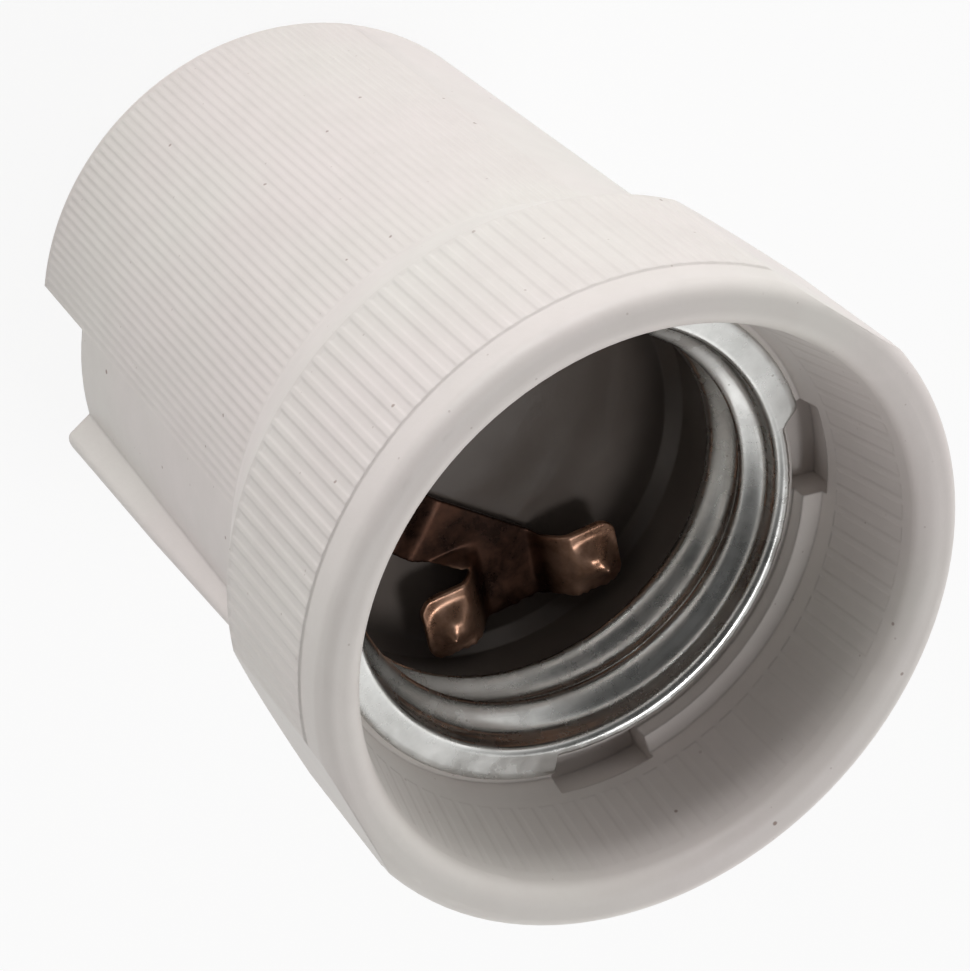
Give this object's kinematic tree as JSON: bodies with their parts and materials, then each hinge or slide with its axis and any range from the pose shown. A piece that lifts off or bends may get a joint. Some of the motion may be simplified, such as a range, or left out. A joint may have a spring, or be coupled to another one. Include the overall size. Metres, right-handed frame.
{
  "type": "lamp holder",
  "caption": "Round glazed porcelain screw lamp holder with a thin threaded metal shell, a stamped tee-shaped spring contact and screw terminals in the back.",
  "frame": {"origin": "centre of the flat back face, on the lamp axis", "axes": "+Z along the lamp axis, out of the mouth; +X towards the raised pad and the back step; +Y completes a right-handed frame, the side of the ledge in the mouth"},
  "size_m": [0.04, 0.04, 0.05],
  "materials": {
    "porcelain": "white glaze, slightly uneven, with small specks",
    "plated_sheet": "bright plated thin sheet, softly worn",
    "bronze_sheet": "tarnished copper-toned spring sheet",
    "brass": "plain brass, slightly dull",
    "plated_steel": "zinc plated"
  },
  "bodies": {
    "holder": {"body": "porcelain", "screw_shell": "plated_sheet", "contact_spring": "bronze_sheet", "contact_rivet": "brass", "contact_terminal": "brass", "contact_clamp_plate": "plated_steel", "shell_strap": "bronze_sheet", "shell_terminal": "brass", "shell_clamp_plate": "plated_steel"},
    "contact_screw": {"contact_terminal_screw": "plated_steel"},
    "shell_screw": {"shell_terminal_screw": "plated_steel"}
  },
  "joints": [
    {"name": "contact_screw_turn", "type": "hinge", "parent": "holder", "child": "contact_screw", "pos_m": [0.0073, 0.0022, 0.009], "axis": [0, 0, -1], "range_deg": [0, 1080]},
    {"name": "shell_screw_turn", "type": "hinge", "parent": "holder", "child": "shell_screw", "pos_m": [-0.0073, 0.0022, 0.0087], "axis": [0, 0, -1], "range_deg": [0, 1080]}
  ]
}
